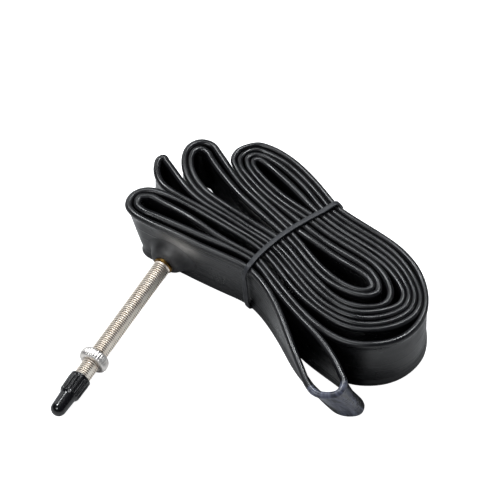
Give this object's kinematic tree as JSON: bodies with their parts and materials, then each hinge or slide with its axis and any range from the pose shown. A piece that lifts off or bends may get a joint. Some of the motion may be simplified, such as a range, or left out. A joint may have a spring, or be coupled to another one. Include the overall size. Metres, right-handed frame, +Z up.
{
  "type": "inner tube",
  "caption": "Deflated bicycle inner tube folded into a flat standing bundle, held by a rubber band, with a long slim valve, lock ring and dust cap.",
  "frame": {"origin": "centre of the bounding box in plan, on the plane the folded edges stand on", "axes": "+X along the lanes towards the nested round end, +Y away from the valve, towards the back lane, +Z up, across the flat width of the tube"},
  "size_m": [0.1118, 0.1204, 0.025],
  "materials": {
    "tube_rubber": "matt butyl rubber, slightly dusty",
    "band_rubber": "matt dark grey rubber",
    "patch_rubber": "matt moulded rubber",
    "foot_brass": "turned, satin",
    "stem_nickel": "nickel-plated thread",
    "ring_nickel": "bright nickel plate, knurled",
    "cap_plastic": "glossy moulded",
    "core_brass": "turned, plated",
    "seal_rubber": "matt"
  },
  "bodies": {
    "tube_and_valve": {"tube": "tube_rubber", "rubber_band": "band_rubber", "valve_patch": "patch_rubber", "valve_foot": "foot_brass", "valve_stem": "stem_nickel", "core_body": "core_brass", "core_gasket": "seal_rubber"},
    "lock_ring": {"lock_ring": "ring_nickel"},
    "cap": {"valve_cap": "cap_plastic"},
    "plunger": {"core_pin": "core_brass", "core_seal": "seal_rubber"},
    "nut": {"core_nut": "core_brass"}
  },
  "joints": [
    {"name": "lock_ring_travel", "type": "slide", "parent": "tube_and_valve", "child": "lock_ring", "axis": [-0.0209, -0.9973, -0.0698], "range_m": [-0.038, 0.003]},
    {"name": "cap_pull", "type": "slide", "parent": "tube_and_valve", "child": "cap", "axis": [-0.0209, -0.9973, -0.0698], "range_m": [0, 0.014]},
    {"name": "plunger_press", "type": "slide", "parent": "tube_and_valve", "child": "plunger", "axis": [-0.0209, -0.9973, -0.0698], "range_m": [-0.0025, 0]},
    {"name": "nut_turn", "type": "hinge", "parent": "plunger", "child": "nut", "pos_m": [-0.03741, -0.05204, 0.00456], "axis": [-0.0209, -0.9973, -0.0698], "continuous": true}
  ]
}
